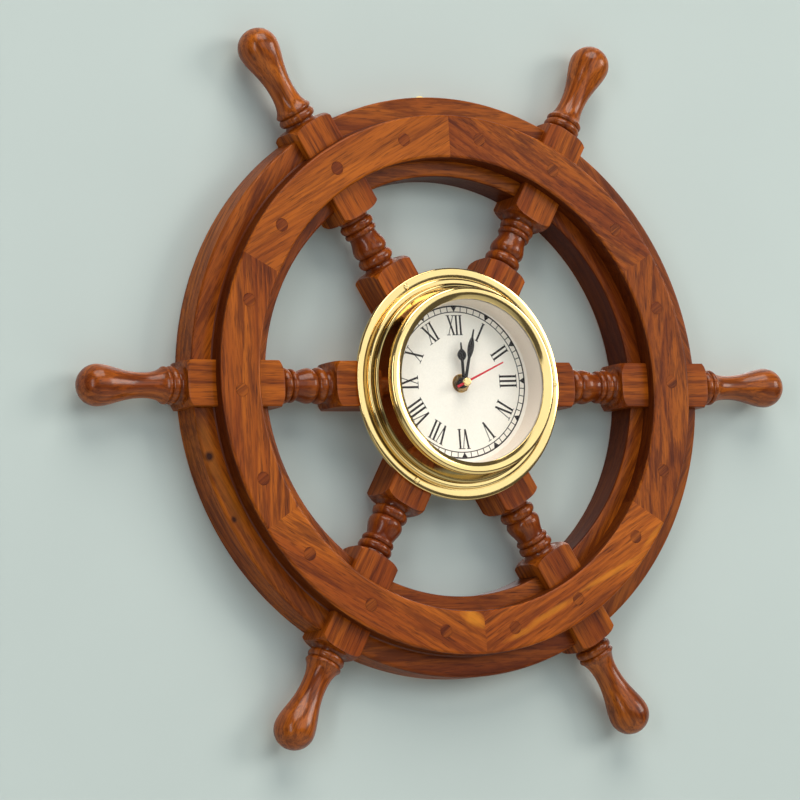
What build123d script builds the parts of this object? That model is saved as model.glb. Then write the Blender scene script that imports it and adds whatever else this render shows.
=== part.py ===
from build123d import *
import os
from math import cos, hypot, radians, sin

# A ship's-wheel wall clock: a wooden wheel of six turned spokes in a two-layer rim, with a
# brass ship's clock on its hub. Millimetres. +X is right as seen from the front, +Z is up and
# the clock faces -Y. The wall is the plane y = 0 and the wheel turns about the Y axis, so a
# depth is written as a negative y. Angles run from +X towards +Z, anticlockwise from the front.

# Rim
spoke_count = 6
back_ring_width = 60.8
back_ring_thickness = 27.0
front_ring_setback = 16.0
front_ring_width = 33.0
front_ring_thickness = 15.0
rim_edge_round = 2.2
front_joint_shifts = (-2, 0, 0, 2, 2, 2)
wood_fit = 0.05

# Plugs and the wood screws under them
plug_radius = 5.0
plug_depth = 4.0
plug_proud = 0.1
plug_chamfer = 0.25
plug_spread_angle = 20
plug_shifts = (
    (-1.1, 0.5, -1.6),
    (-0.4, 1.1, 1.9),
    (2.2, 1.6, 1.8),
    (1.3, 1.8, 2.2),
    (2.3, 1.4, 1.6),
    (0.1, -1.2, 1.0),
)
wood_screw_head_gap = 1.0
wood_screw_head_height = 2.0
wood_screw_radius = 2.0
wood_screw_length = 20.0

# Spokes, turned from stock that stays square where it crosses the rim and meets the hub
block_width = 34.0
block_proud = 7.0
block_edge_round = 1.0
outer_block_overhang = 6.3
inner_block_overhang = 11.5
inner_block_margin = 15.7
stock_allowance = 0.5
pommel_length = 5.5
shoulder_radius = 15.2
groove_radius = 11.0
shoulder_cove_length = 3.4
collar_bead_length = 8.6
collar_bead_radius = 13.7
vase_length = 16.6
vase_bulge_radius = 13.2
vase_neck_radius = 10.6
fillet_bead_length = 4.6
fillet_bead_radius = 12.6
end_bead_length = 7.2
end_bead_radius = 13.3
handle_bead_length = 6.4
handle_bead_radius = 14.1
handle_groove_radius = 12.3
handle_lip_length = 3.0
handle_lip_radius = 13.7
handle_neck_length = 14.6
handle_neck_radius = 9.4
handle_swell_length = 37.7
handle_ball_radius = 15.4
tenon_radius = 7.0
tenon_length = 11.0

# Hub: its bore clears the movement and its wall takes the spokes' tenons
hub_bore_gap = 3.6
mortise_end_gap = 0.2
mortise_end_wall = 4.8

# Hanger plate, let into the back of the rim at twelve o'clock; reaches run down from its top
hanger_width = 11.0
hanger_thickness = 2.0
hanger_ear = 5.5
hanger_hole_radius = 3.2
hanger_hole_reach = 16.0
hanger_pocket_gap = 3.3
hanger_pocket_depth = 8.0
hanger_screw_gap = 12.0
hanger_screw_pitch = 15.0
hanger_screw_end = 7.0
hanger_screw_radius = 1.5
hanger_screw_head_radius = 2.9
hanger_screw_length = 14.0

# Brass case: a flange on the spokes and a band that stands on it
flange_thickness = 2.4
flange_crown = 0.5
flange_rim_width = 7.5
flange_groove_width = 0.5
flange_step_width = 4.1
flange_step_height = 2.0
flange_lip_width = 13.0
flange_screw_inset = 3.4
flange_screw_head_radius = 2.3
flange_screw_head_height = 1.2
flange_screw_head_round = 0.84
flange_screw_shank_radius = 1.2
flange_screw_length = 9.0
screw_slot_width = 0.7
screw_slot_depth = 0.5
flange_screw_spokes = (0, 2, 4)
band_radius = 70.5
band_wall = 1.5
band_foot_width = 4.9
band_foot_height = 2.5
band_bead_height = 3.5
band_seat_gap = 0.2

# Bezel, glass, dial ring and dial
bezel_overhang = 0.2
bezel_height = 5.5
bezel_lip = 2.4
bezel_skirt_length = 5.5
bezel_skirt_wall = 1.6
bezel_fit = 0.1
glass_ledge = 5.9
glass_thickness = 2.0
glass_fit = 0.2
glass_clearance = 5.4
dial_edge_gap = 3.0
dial_thickness = 0.8
dial_hole_fit = 0.15
dial_ring_edge_gap = 1.0
dial_ring_wall = 1.2
dial_ring_foot_width = 5.6
dial_ring_inset = 0.2

# Arbors, from the innermost outwards, each running in the next
running_fit = 0.05
seconds_arbor_radius = 0.6
minute_tube_wall = 0.85
hour_pipe_wall = 0.75
bush_wall = 1.65
bush_proud = 0.8
pipe_end_proud = 0.3
pivot_shoulder = 0.1
pivot_length = 0.8
motion_arbor_radius = 0.8
bearing_boss_wall = 1.05

# Movement: the battery sets its width, and the coil, the wheelwork and the battery bay its height
movement_wall = 1.2
movement_front_wall = 1.4
movement_back_gap = 2.8
movement_cover_thickness = 1.2
movement_corner = 3.0
wheelwork_gap = 2.76
divider_wall = 1.0
battery_radius = 7.0
battery_length = 49.2
battery_nub_radius = 2.75
battery_nub_length = 1.3
battery_gap = 0.1
battery_bay_fit = 0.35
contact_room = 1.55
contact_thickness = 0.4
contact_width = 9.0
contact_bump_radius = 2.4
rubber_washer_thickness = 1.0
rubber_washer_width = 6.0
washer_thickness = 0.6
washer_width = 3.0
nut_wall = 2.0
nut_thickness = 2.2

# Wheelwork: tooth counts, modules, the directions in which the axes lie, and the tooth form:
# its heights in modules and its half widths as shares of the pitch
cannon_teeth = 12
motion_teeth = 36
cannon_module = 0.40
motion_pinion_teeth = 10
hour_teeth = 40
seconds_pinion_teeth = 8
third_teeth = 60
third_module = 0.25
third_pinion_teeth = 8
centre_teeth = 64
intermediate_pinion_teeth = 8
seconds_teeth = 40
seconds_module = 0.35
rotor_pinion_teeth = 8
intermediate_teeth = 48
rotor_module = 0.30
motion_direction = 185
third_direction = 40
intermediate_direction = 115
rotor_direction = 150
addendum = 0.75
dedendum = 1.1
tip_share = 0.17
root_share = 0.42
wheel_thickness = 0.8
wheel_gap = 0.4
gear_plate_thickness = 1.2
gear_plate_width = 46.0
gear_plate_margin = 3.7
gear_plate_gap = 0.6
plate_post_radius = 1.4
rotor_magnet_radius = 3.0
rotor_magnet_length = 2.4
rotor_air_gap = 0.4
stator_rim = 1.8
stator_thickness = 0.8
stator_arm_width = 4.0
stator_span = 23.0
coil_radius = 3.8
coil_length = 13.0
coil_rise = 9.2
coil_gap = 1.98
board_width = 17.0
board_height = 11.0
board_thickness = 1.0
board_lap = 2.5
board_offset = 17.0
board_post_radius = 1.1
board_post_spacing = 6.0
knob_radius = 5.0
knob_thickness = 2.4
knob_flutes = 18
knob_flute_radius = 0.5
knob_gap = 0.4

# Hands, at about two minutes past twelve; angles run clockwise from twelve
hand_thickness = 0.5
hand_gap = 1.3
hand_boss_wall = 1.3
hand_shaft_half_width = 1.3
hand_neck_half_width = 1.1
hand_shoulder_half_width = 0.8
hand_tip_half_width = 0.5
hour_hand_length = 30.2
hour_hand_bulge = 3.7
minute_hand_length = 41.2
minute_hand_bulge = 2.6
seconds_hand_length = 36.3
seconds_tail_length = 8.6
seconds_tail_half_width = 0.95
seconds_tip_half_width = 0.5
seconds_hub_wall = 1.4
seconds_cap_radius = 3.2
seconds_cap_height = 2.0
seconds_cap_round = 0.8
minute_angle = 14.0
hour_angle = -1.5
seconds_angle = 65.5


def on_circle(radius, angle):
    """The x and z of a point on a circle about the wheel's axis."""
    return radius * cos(radians(angle)), radius * sin(radians(angle))


def centre_distance(teeth_a, teeth_b, module):
    """The distance between two meshed axes."""
    return module * (teeth_a + teeth_b) / 2


def meshing_module(distance, teeth_a, teeth_b):
    """The module that makes a pair mesh at a given distance."""
    return 2 * distance / (teeth_a + teeth_b)


# Axes of the wheelwork as (x, z) from the clock's axis
motion_distance = centre_distance(cannon_teeth, motion_teeth, cannon_module)
hour_module = meshing_module(motion_distance, motion_pinion_teeth, hour_teeth)
motion_axis = on_circle(motion_distance, motion_direction)
third_distance = centre_distance(seconds_pinion_teeth, third_teeth, third_module)
centre_module = meshing_module(third_distance, third_pinion_teeth, centre_teeth)
third_axis = on_circle(third_distance, third_direction)
intermediate_distance = centre_distance(intermediate_pinion_teeth, seconds_teeth, seconds_module)
intermediate_axis = on_circle(intermediate_distance, intermediate_direction)
rotor_distance = centre_distance(rotor_pinion_teeth, intermediate_teeth, rotor_module)
rotor_offset = on_circle(rotor_distance, rotor_direction)
rotor_axis = (intermediate_axis[0] + rotor_offset[0], intermediate_axis[1] + rotor_offset[1])
motion_wheel_reach = cannon_module * (motion_teeth / 2 + addendum)
wheelwork_drop = motion_wheel_reach - motion_axis[1] + wheelwork_gap

# Movement and hub, from the clock's axis outwards
minute_arbor_radius = seconds_arbor_radius + running_fit + minute_tube_wall
hour_pipe_radius = minute_arbor_radius + running_fit + hour_pipe_wall
bush_radius = hour_pipe_radius + running_fit + bush_wall
bush_hole_radius = bush_radius + running_fit
pivot_radius = seconds_arbor_radius - pivot_shoulder
bearing_boss_radius = pivot_radius + running_fit + bearing_boss_wall
hand_boss_radius = hour_pipe_radius + hand_boss_wall
battery_bay_height = 2 * (battery_radius + battery_bay_fit)
movement_width = battery_length + battery_nub_length + 2 * (contact_room + movement_wall)
coil_z = rotor_axis[1] + coil_rise
movement_top = coil_z + coil_radius + coil_gap + movement_wall
movement_bottom = wheelwork_drop + divider_wall + battery_bay_height + movement_wall
movement_height = movement_top + movement_bottom
movement_middle_z = (movement_top - movement_bottom) / 2
movement_reach = movement_corner + hypot(
    movement_width / 2 - movement_corner,
    max(movement_top, movement_bottom) - movement_corner,
)
hub_bore_radius = movement_reach + hub_bore_gap
hub_apothem = hub_bore_radius + mortise_end_wall + mortise_end_gap + tenon_length

# Brass case, dial and glass
band_inner_radius = band_radius - band_wall
band_foot_radius = band_radius + band_foot_width
step_inner_radius = band_foot_radius + band_seat_gap
step_outer_radius = step_inner_radius + flange_step_width
rim_inner_radius = step_outer_radius + flange_groove_width
flange_radius = rim_inner_radius + flange_rim_width
flange_lip_radius = band_inner_radius - flange_lip_width
flange_screw_circle = rim_inner_radius + flange_screw_inset
skirt_outer_radius = band_inner_radius - bezel_fit
skirt_inner_radius = skirt_outer_radius - bezel_skirt_wall
bezel_radius = band_radius + bezel_overhang
bezel_opening_radius = skirt_inner_radius - glass_ledge
glass_radius = skirt_inner_radius - glass_fit
dial_radius = band_inner_radius - dial_edge_gap
dial_ring_outer_radius = dial_radius - dial_ring_edge_gap
dial_ring_foot_radius = dial_ring_outer_radius - dial_ring_foot_width
dial_ring_top_radius = bezel_opening_radius - dial_ring_inset
dial_ring_flange_radius = glass_radius - dial_ring_inset

# Stations along a spoke, from the hub to the tip of the handle, and the rim that they carry
spoke_step = 360 / spoke_count
inner_block_end = flange_radius + inner_block_margin
collar_start = inner_block_end + shoulder_cove_length
collar_end = collar_start + collar_bead_length
vase_end = collar_end + vase_length
end_bead_start = vase_end + fillet_bead_length
end_bead_end = end_bead_start + end_bead_length
outer_block_start = end_bead_end + shoulder_cove_length
back_ring_inner_radius = outer_block_start + inner_block_overhang
back_ring_outer_radius = back_ring_inner_radius + back_ring_width
front_ring_outer_radius = back_ring_outer_radius - front_ring_setback
plug_circle_radius = front_ring_outer_radius - front_ring_width / 2
outer_block_end = back_ring_outer_radius + outer_block_overhang
handle_bead_start = outer_block_end + shoulder_cove_length
handle_start = handle_bead_start + handle_bead_length
handle_lip_end = handle_start + handle_lip_length
handle_neck = handle_lip_end + handle_neck_length
handle_ball_centre = handle_neck + handle_swell_length
handle_tip = handle_ball_centre + handle_ball_radius

# Depths of the wheel
rim_split_y = -back_ring_thickness
rim_front_y = rim_split_y - front_ring_thickness
block_depth = back_ring_thickness + block_proud
block_front_y = -block_depth
spoke_axis_y = -block_depth / 2
stock_radius = hypot(block_width, block_depth) / 2 + stock_allowance
wood_screw_y = rim_front_y + plug_depth
wood_screw_tip_y = wood_screw_y + wood_screw_head_height + wood_screw_length

# Depths of the clock, from its flange forwards
flange_front_y = block_front_y - flange_thickness
step_front_y = flange_front_y - flange_step_height
groove_floor_y = flange_front_y + flange_crown
dial_front_y = flange_front_y - dial_thickness
nut_back_y = dial_front_y - washer_thickness
nut_front_y = nut_back_y - nut_thickness
bush_front_y = nut_front_y - bush_proud
hour_hand_back_y = bush_front_y - hand_gap
hour_hand_front_y = hour_hand_back_y - hand_thickness
minute_hand_back_y = hour_hand_front_y - hand_gap
minute_hand_front_y = minute_hand_back_y - hand_thickness
seconds_hand_back_y = minute_hand_front_y - hand_gap
seconds_hand_front_y = seconds_hand_back_y - hand_thickness
hour_pipe_end_y = hour_hand_front_y - pipe_end_proud
minute_tube_end_y = minute_hand_front_y - pipe_end_proud
glass_back_y = seconds_hand_front_y - seconds_cap_height - glass_clearance
glass_front_y = glass_back_y - glass_thickness
bezel_front_y = glass_front_y - bezel_lip
band_top_y = bezel_front_y + bezel_height

# Depths of the movement, from the dial towards the wall; a level is a wheel's back face
movement_front_y = flange_front_y + rubber_washer_thickness
movement_inner_y = movement_front_y + movement_front_wall
level_step = wheel_gap + wheel_thickness
hour_level_y = movement_inner_y + level_step
cannon_level_y = hour_level_y + level_step
plate_front_y = cannon_level_y + wheel_gap
plate_back_y = plate_front_y + gear_plate_thickness
centre_level_y = plate_back_y + level_step
seconds_level_y = centre_level_y + level_step
third_level_y = seconds_level_y + level_step
rotor_level_y = third_level_y + level_step
bearing_y = rotor_level_y + wheel_gap
board_front_y = bearing_y + wheel_gap
board_back_y = board_front_y + board_thickness
movement_back_y = board_back_y + movement_back_gap
cover_back_y = movement_back_y + movement_cover_thickness
knob_front_y = cover_back_y + knob_gap

wheel_axis = Axis((0, 0, 0), (0, -1, 0))
clock_axis = (0.0, 0.0)
downwards = (Align.CENTER, Align.CENTER, Align.MAX)
upwards = (Align.CENTER, Align.CENTER, Align.MIN)
os.makedirs("parts", exist_ok=True)


def save(part, name):
    """Label a finished piece and write it."""
    part.label = name
    export_step(part, f"parts/{name}.step")


def face_plane(y, x=0.0, z=0.0):
    """A plane at depth y that faces the viewer, with its local Y upwards."""
    return Plane(origin=(x, y, z), x_dir=(1, 0, 0), z_dir=(0, -1, 0))


def radial_plane(angle, y=0.0):
    """A plane through the wheel's axis: local X is radial, local Y points to the wall."""
    along = (cos(radians(angle)), 0, sin(radians(angle)))
    normal = (-sin(radians(angle)), 0, cos(radians(angle)))
    return Plane(origin=(0, y, 0), x_dir=along, z_dir=normal)


def polar_faces(y, radius, angles):
    """Planes that face the viewer, spread on a circle about the wheel's axis."""
    return [face_plane(y, *on_circle(radius, angle)) for angle in angles]


def plug_angles(spoke):
    """The angles of the three plugs of one front felloe, each bored by eye a little off its place."""
    middle = spoke * spoke_step
    low, centre, high = plug_shifts[spoke % len(plug_shifts)]
    return [middle - plug_spread_angle + low, middle + centre, middle + plug_spread_angle + high]


def spoke_stock(angle):
    """The plane across a spoke, at the wheel's axis."""
    return Plane(origin=(0, spoke_axis_y, 0), x_dir=(0, 1, 0), z_dir=radial_plane(angle).x_dir)


def wall_plane(z):
    """A plane on the wall side, facing the wall, at height z on the wheel's centre line."""
    return Plane(origin=(0, 0, z), x_dir=(-1, 0, 0), z_dir=(0, 1, 0))


# Spokes
arc_share = sin(radians(45))


def bead(start, end, radius, foot):
    """A round bead between two stations, standing on a groove of the given radius."""
    ThreePointArc((start, foot), ((start + end) / 2, radius), (end, foot))


def pommel(end, outwards):
    """The rounded end of a square block: outwards is 1 towards the handle, -1 towards the hub."""
    run = outwards * pommel_length
    rise = stock_radius - shoulder_radius
    ThreePointArc(
        (end - run, stock_radius),
        (end - (1 - arc_share) * run, shoulder_radius + arc_share * rise),
        (end, shoulder_radius),
    )


def shoulder_cove(block_end, outwards):
    """The hollow between a block's end and the bead beside it, with outwards as for a pommel."""
    run = outwards * shoulder_cove_length
    drop = shoulder_radius - groove_radius
    ThreePointArc(
        (block_end, shoulder_radius),
        (block_end + (1 - arc_share) * run, groove_radius + (1 - arc_share) * drop),
        (block_end + run, groove_radius),
    )


def inner_turning():
    """The tenon, the inner block and the vase up to the outer block."""
    tenon_start = hub_apothem - tenon_length
    Polyline(
        (tenon_start, 0),
        (tenon_start, tenon_radius),
        (hub_apothem, tenon_radius),
        (hub_apothem, stock_radius),
        (inner_block_end - pommel_length, stock_radius),
    )
    pommel(inner_block_end, 1)
    shoulder_cove(inner_block_end, 1)
    bead(collar_start, collar_end, collar_bead_radius, groove_radius)
    vase_rise = vase_bulge_radius - vase_neck_radius
    Spline(
        (collar_end, groove_radius),
        (collar_end + 0.30 * vase_length, vase_bulge_radius),
        (collar_end + 0.68 * vase_length, vase_neck_radius + 0.38 * vase_rise),
        (vase_end, vase_neck_radius),
    )
    Line((vase_end, vase_neck_radius), (vase_end, groove_radius))
    bead(vase_end, end_bead_start, fillet_bead_radius, groove_radius)
    bead(end_bead_start, end_bead_end, end_bead_radius, groove_radius)
    shoulder_cove(outer_block_start, -1)


def outer_turning():
    """The outer block and the handle, and the line back along the spoke's axis."""
    pommel(outer_block_start, -1)
    Line(
        (outer_block_start + pommel_length, stock_radius),
        (outer_block_end - pommel_length, stock_radius),
    )
    pommel(outer_block_end, 1)
    shoulder_cove(outer_block_end, 1)
    Line((handle_bead_start, groove_radius), (handle_bead_start, handle_groove_radius))
    bead(handle_bead_start, handle_start, handle_bead_radius, handle_groove_radius)
    lip_rise = handle_lip_radius - handle_groove_radius
    neck_rise = handle_lip_radius - handle_neck_radius
    ball_rise = handle_ball_radius - handle_neck_radius
    ThreePointArc(
        (handle_start, handle_groove_radius),
        (handle_start + 0.4 * handle_lip_length, handle_groove_radius + 0.9 * lip_rise),
        (handle_lip_end, handle_lip_radius),
    )
    Spline(
        (handle_lip_end, handle_lip_radius),
        (handle_lip_end + 0.38 * handle_neck_length, handle_neck_radius + 0.30 * neck_rise),
        (handle_neck, handle_neck_radius),
        (handle_neck + 0.42 * handle_swell_length, handle_neck_radius + 0.24 * ball_rise),
        (handle_neck + 0.70 * handle_swell_length, handle_neck_radius + 0.68 * ball_rise),
        (handle_ball_centre, handle_ball_radius),
        tangents=[(1, -1), (1, 0)],
        tangent_scalars=[1, 1],
    )
    CenterArc((handle_ball_centre, 0), handle_ball_radius, 90, -90)
    Line((handle_tip, 0), (hub_apothem - tenon_length, 0))


for spoke_number in range(spoke_count):
    spoke_angle = spoke_number * spoke_step
    plane = radial_plane(spoke_angle, spoke_axis_y)
    with BuildPart() as spoke:
        with BuildSketch(plane):
            with BuildLine():
                inner_turning()
                outer_turning()
            make_face()
        revolve(axis=Axis((0, spoke_axis_y, 0), plane.x_dir))
        with BuildSketch(spoke_stock(spoke_angle)):
            RectangleRounded(block_depth, block_width, block_edge_round)
        extrude(amount=handle_tip, mode=Mode.INTERSECT)
        screw_angle = plug_angles(spoke_number)[1]
        with Locations(*polar_faces(block_front_y, plug_circle_radius, [screw_angle])):
            Hole(wood_screw_radius, wood_screw_tip_y - block_front_y)
        if spoke_number in flange_screw_spokes:
            with Locations(*polar_faces(block_front_y, flange_screw_circle, [spoke_angle])):
                Hole(flange_screw_shank_radius, flange_screw_length - flange_thickness)
    save(spoke.part, f"spoke_{spoke_number + 1}")


# Felloes: the back ones butt on the spoke blocks, the front ones are notched over them
def ring_section(outer_radius, width, back_y, thickness):
    """A rectangular rim section that stands forward of back_y."""
    with Locations((outer_radius - width / 2, back_y - thickness / 2)):
        Rectangle(width, thickness)


hanger_top = back_ring_outer_radius + hanger_ear
hanger_length = hanger_hole_reach + hanger_screw_gap + hanger_screw_pitch + hanger_screw_end
hanger_middle = hanger_top - hanger_length / 2
hanger_hole_z = hanger_top - hanger_hole_reach
upper_hanger_screw_z = hanger_hole_z - hanger_screw_gap
lower_hanger_screw_z = upper_hanger_screw_z - hanger_screw_pitch
hanger_screw_planes = [wall_plane(upper_hanger_screw_z), wall_plane(lower_hanger_screw_z)]
hanger_felloe = 1

for felloe_number in range(spoke_count):
    start_angle = felloe_number * spoke_step
    end_angle = start_angle + spoke_step
    screw_angles = [plug_angles(felloe_number)[-1], plug_angles(felloe_number + 1)[0]]
    with BuildPart() as back_felloe:
        with BuildSketch(radial_plane(start_angle)) as section:
            ring_section(back_ring_outer_radius, back_ring_width, 0, back_ring_thickness)
            fillet(section.vertices().group_by(Axis.Y)[0], rim_edge_round)
        revolve(axis=wheel_axis, revolution_arc=spoke_step)
        for angle in (start_angle, end_angle):
            with BuildSketch(spoke_stock(angle)):
                Rectangle(block_depth, block_width)
            extrude(amount=back_ring_outer_radius, mode=Mode.SUBTRACT)
        with Locations(*polar_faces(rim_split_y, plug_circle_radius, screw_angles)):
            Hole(wood_screw_radius, wood_screw_tip_y - rim_split_y)
        if felloe_number == hanger_felloe:
            with BuildSketch(face_plane(0, 0, hanger_middle)):
                SlotOverall(hanger_length, hanger_width, rotation=90)
            extrude(amount=hanger_thickness, mode=Mode.SUBTRACT)
            with Locations(wall_plane(hanger_hole_z)):
                Hole(hanger_hole_radius + hanger_pocket_gap, hanger_thickness + hanger_pocket_depth)
            with Locations(*hanger_screw_planes):
                Hole(hanger_screw_radius, hanger_screw_length)
    save(back_felloe.part, f"back_felloe_{felloe_number + 1}")


def front_joint(number):
    """The angle of the joint before a front felloe; the joints were cut a little off the middle."""
    shift = front_joint_shifts[number % len(front_joint_shifts)]
    return (number - 0.5) * spoke_step + shift


for felloe_number in range(spoke_count):
    spoke_angle = felloe_number * spoke_step
    start_angle = front_joint(felloe_number)
    end_angle = front_joint(felloe_number + 1)
    plug_places = polar_faces(rim_front_y, plug_circle_radius, plug_angles(felloe_number))
    with BuildPart() as front_felloe:
        with BuildSketch(radial_plane(start_angle)) as section:
            ring_section(front_ring_outer_radius, front_ring_width, rim_split_y, front_ring_thickness)
            fillet(section.vertices().group_by(Axis.Y)[0], rim_edge_round)
        revolve(axis=wheel_axis, revolution_arc=end_angle - start_angle)
        with BuildSketch(spoke_stock(spoke_angle)):
            Rectangle(block_depth, block_width)
        extrude(amount=front_ring_outer_radius, mode=Mode.SUBTRACT)
        with Locations(*plug_places):
            CounterBoreHole(wood_screw_radius, plug_radius + wood_fit, plug_depth + wood_screw_head_height)
    save(front_felloe.part, f"front_felloe_{felloe_number + 1}")

all_plug_angles = [angle for spoke in range(spoke_count) for angle in plug_angles(spoke)]

with BuildPart() as felloe_plugs:
    with Locations(*polar_faces(rim_front_y - plug_proud, plug_circle_radius, all_plug_angles)):
        Cylinder(plug_radius, plug_depth + plug_proud, align=downwards)
    chamfer(felloe_plugs.edges().group_by(Axis.Y)[0], plug_chamfer)
save(felloe_plugs.part, "felloe_plugs")

with BuildPart() as felloe_screws:
    with Locations(*polar_faces(wood_screw_y, plug_circle_radius, all_plug_angles)):
        Cylinder(plug_radius - wood_screw_head_gap, wood_screw_head_height, align=downwards)
        Cylinder(wood_screw_radius, wood_screw_head_height + wood_screw_length, align=downwards)
save(felloe_screws.part, "felloe_screws")

# Hub: a hexagonal block with a flat for each spoke
with BuildPart() as hub:
    with BuildSketch(face_plane(0)):
        RegularPolygon(hub_apothem, spoke_count, major_radius=False, rotation=spoke_step / 2)
        Circle(hub_bore_radius, mode=Mode.SUBTRACT)
    extrude(amount=block_depth)
    for spoke_number in range(spoke_count):
        flat = spoke_stock(spoke_number * spoke_step).offset(hub_apothem)
        with Locations(flat):
            Hole(tenon_radius + wood_fit, tenon_length + mortise_end_gap)
save(hub.part, "hub")

# Hanger plate and its two countersunk screws
with BuildPart() as hanger_plate:
    with BuildSketch(face_plane(0, 0, hanger_middle)):
        SlotOverall(hanger_length, hanger_width, rotation=90)
    extrude(amount=hanger_thickness)
    with Locations(wall_plane(hanger_hole_z)):
        Hole(hanger_hole_radius)
    with Locations(*hanger_screw_planes):
        CounterSinkHole(hanger_screw_radius, hanger_screw_head_radius, counter_sink_angle=90)
save(hanger_plate.part, "hanger_plate")

with BuildPart() as hanger_screws:
    hanger_head_height = hanger_screw_head_radius - hanger_screw_radius
    with Locations(*hanger_screw_planes):
        Cone(hanger_screw_radius, hanger_screw_head_radius, hanger_head_height, align=downwards)
        Cylinder(hanger_screw_radius, hanger_screw_length, align=downwards)
        Box(2 * hanger_screw_head_radius, screw_slot_width, 2 * screw_slot_depth, mode=Mode.SUBTRACT)
save(hanger_screws.part, "hanger_screws")

# Brass flange: a crowned rim, a groove, a rounded step and a flat lip that carries the dial
step_crest_radius = step_inner_radius + 0.3 * flange_step_width
flange_screw_angles = [spoke * spoke_step for spoke in flange_screw_spokes]

with BuildPart() as clock_flange:
    with BuildSketch(radial_plane(0)):
        with BuildLine():
            Polyline(
                (flange_lip_radius, block_front_y),
                (flange_radius, block_front_y),
                (flange_radius, block_front_y - flange_thickness / 2),
            )
            ThreePointArc(
                (flange_radius, block_front_y - flange_thickness / 2),
                (0.55 * flange_radius + 0.45 * rim_inner_radius, flange_front_y - flange_crown),
                (rim_inner_radius, flange_front_y),
            )
            Polyline(
                (rim_inner_radius, flange_front_y),
                (rim_inner_radius, groove_floor_y),
                (step_outer_radius, groove_floor_y),
                (step_outer_radius, flange_front_y),
            )
            ThreePointArc(
                (step_outer_radius, flange_front_y),
                (step_outer_radius - 0.25 * flange_step_width, flange_front_y - 0.72 * flange_step_height),
                (step_crest_radius, step_front_y),
            )
            Polyline(
                (step_crest_radius, step_front_y),
                (step_inner_radius, step_front_y),
                (step_inner_radius, flange_front_y),
                (flange_lip_radius, flange_front_y),
                (flange_lip_radius, block_front_y),
            )
        make_face()
    revolve(axis=wheel_axis)
    with Locations(*polar_faces(flange_front_y - flange_crown, flange_screw_circle, flange_screw_angles)):
        CounterBoreHole(flange_screw_shank_radius, flange_screw_head_radius + running_fit, flange_crown)
save(clock_flange.part, "clock_flange")

with BuildPart() as flange_screws:
    with Locations(*polar_faces(flange_front_y, flange_screw_circle, flange_screw_angles)):
        Cylinder(flange_screw_shank_radius, flange_screw_length, align=downwards)
        Cylinder(flange_screw_head_radius, flange_screw_head_height, align=upwards)
    fillet(flange_screws.edges().group_by(Axis.Y)[0], flange_screw_head_round)
    screw_head_y = flange_front_y - flange_screw_head_height
    with Locations(*polar_faces(screw_head_y, flange_screw_circle, flange_screw_angles)):
        Box(2 * flange_screw_head_radius, screw_slot_width, 2 * screw_slot_depth, mode=Mode.SUBTRACT)
save(flange_screws.part, "flange_screws")

# Case band: a straight wall that stands on a beaded foot inside the flange's step
foot_top_y = flange_front_y - band_foot_height
bead_top_y = foot_top_y - band_bead_height
bead_crest_radius = band_radius + 0.2 * band_foot_width

with BuildPart() as case_band:
    with BuildSketch(radial_plane(0)):
        with BuildLine():
            Polyline(
                (band_inner_radius, flange_front_y),
                (band_foot_radius, flange_front_y),
                (band_foot_radius, foot_top_y),
            )
            ThreePointArc(
                (band_foot_radius, foot_top_y),
                (band_radius + 0.75 * band_foot_width, foot_top_y - 0.7 * band_bead_height),
                (bead_crest_radius, bead_top_y),
            )
            Polyline(
                (bead_crest_radius, bead_top_y),
                (band_radius, bead_top_y),
                (band_radius, band_top_y),
                (band_inner_radius, band_top_y),
                (band_inner_radius, flange_front_y),
            )
        make_face()
    revolve(axis=wheel_axis)
save(case_band.part, "case_band")

# Bezel: a rounded front over a skirt that plugs into the band
skirt_end_y = band_top_y + bezel_skirt_length
crest_radius = (bezel_radius + bezel_opening_radius) / 2
bezel_side_y = band_top_y - 0.5 * bezel_height
opening_y = glass_front_y - 0.33 * bezel_lip

with BuildPart() as bezel:
    with BuildSketch(radial_plane(0)):
        with BuildLine():
            Polyline(
                (bezel_opening_radius, opening_y),
                (bezel_opening_radius, glass_front_y),
                (skirt_inner_radius, glass_front_y),
                (skirt_inner_radius, skirt_end_y),
                (skirt_outer_radius, skirt_end_y),
                (skirt_outer_radius, band_top_y),
                (bezel_radius, band_top_y),
                (bezel_radius, bezel_side_y),
            )
            ThreePointArc(
                (bezel_radius, bezel_side_y),
                (0.72 * bezel_radius + 0.28 * crest_radius, 0.3 * bezel_side_y + 0.7 * bezel_front_y),
                (crest_radius, bezel_front_y),
            )
            ThreePointArc(
                (crest_radius, bezel_front_y),
                (0.5 * crest_radius + 0.5 * bezel_opening_radius, 0.75 * bezel_front_y + 0.25 * opening_y),
                (bezel_opening_radius, opening_y),
            )
        make_face()
    revolve(axis=wheel_axis)
save(bezel.part, "bezel")

with BuildPart() as glass:
    with BuildSketch(face_plane(glass_back_y)):
        Circle(glass_radius)
    extrude(amount=glass_thickness)
save(glass.part, "glass")

# Dial, and the white ring that stands on it and carries the glass
with BuildPart() as dial:
    with BuildSketch(face_plane(flange_front_y)):
        Circle(dial_radius)
        Circle(bush_radius + dial_hole_fit, mode=Mode.SUBTRACT)
    extrude(amount=dial_thickness)
save(dial.part, "dial")

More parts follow.
